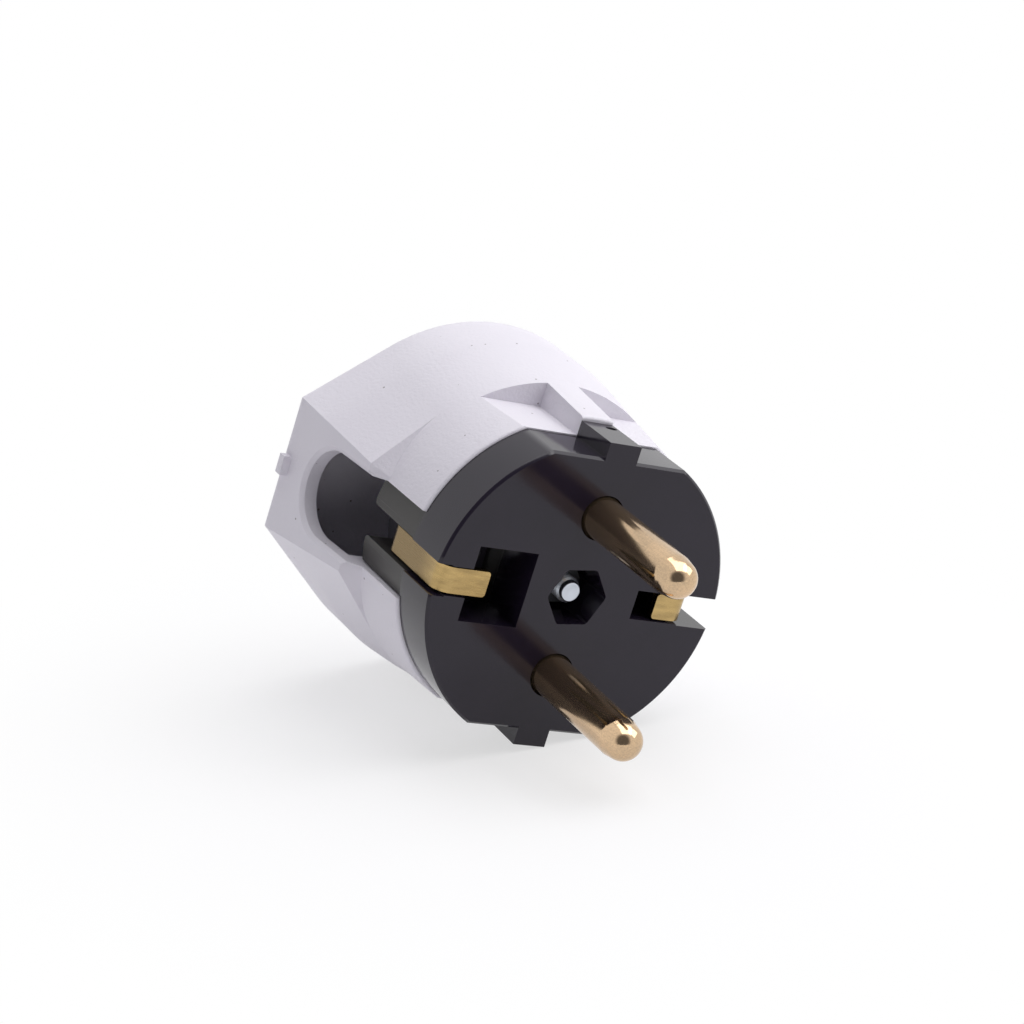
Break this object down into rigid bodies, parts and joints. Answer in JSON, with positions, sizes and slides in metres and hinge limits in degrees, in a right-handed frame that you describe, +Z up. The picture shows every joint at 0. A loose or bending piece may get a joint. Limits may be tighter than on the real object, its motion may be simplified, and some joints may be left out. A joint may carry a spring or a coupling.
{
  "type": "angled power plug",
  "caption": "Rewirable earthed plug with round brass pins, side earth strips and a white hood whose cord outlet opens at the side.",
  "frame": {"origin": "centre of the bounding box's bottom face, on the surface the plug lies on", "axes": "+Z up; the pins point along -Y and a little down; the cord outlet opens towards -X and a little up"},
  "size_m": [0.045, 0.0564, 0.0421],
  "materials": {
    "white_plastic": "fine matte white",
    "black_plastic": "smooth glossy black",
    "brass": "drawn brass with fine scratches",
    "zinc_steel": "zinc-plated, slightly blue"
  },
  "bodies": {
    "root": {"hood": "white_plastic", "base": "black_plastic", "pin_upper": "brass", "pin_lower": "brass", "retainer_plate": "black_plastic", "earth_bracket": "brass", "pin_washer_upper": "zinc_steel", "pin_washer_lower": "zinc_steel", "pin_screw_upper": "zinc_steel", "pin_screw_lower": "zinc_steel", "earth_washer": "zinc_steel", "earth_screw": "zinc_steel", "earth_nut": "zinc_steel", "plate_screw_upper": "zinc_steel", "plate_screw_lower": "zinc_steel", "cord_clamp": "black_plastic", "clamp_screw_upper": "zinc_steel", "clamp_screw_lower": "zinc_steel", "cover_screw": "zinc_steel", "spring_washer": "zinc_steel", "cover_nut": "zinc_steel"}
  },
  "joints": []
}
